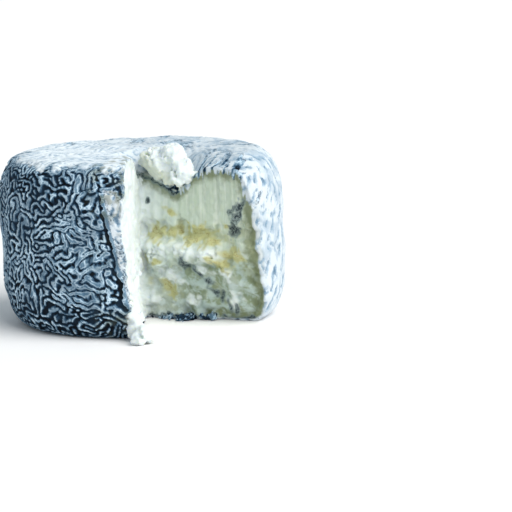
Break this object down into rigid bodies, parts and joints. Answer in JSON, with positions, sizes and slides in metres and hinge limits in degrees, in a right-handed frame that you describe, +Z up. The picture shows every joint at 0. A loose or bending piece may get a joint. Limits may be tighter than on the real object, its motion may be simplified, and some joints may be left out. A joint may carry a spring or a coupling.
{
  "type": "cheese wheel",
  "caption": "Small ash-ripened drum of soft cheese with a wrinkled rind and one wedge cut out, standing flat.",
  "frame": {"origin": "in the plane the wheel stands on, under the middle of its bounding box", "axes": "+Z up through the wheel; the open wedge lies between -Y and +X; +Y and -X are whole rind"},
  "size_m": [0.1112, 0.1178, 0.0694],
  "materials": {
    "rind_and_paste": "matt"
  },
  "bodies": {
    "root": {"cheese_wheel": "rind_and_paste"}
  },
  "joints": []
}
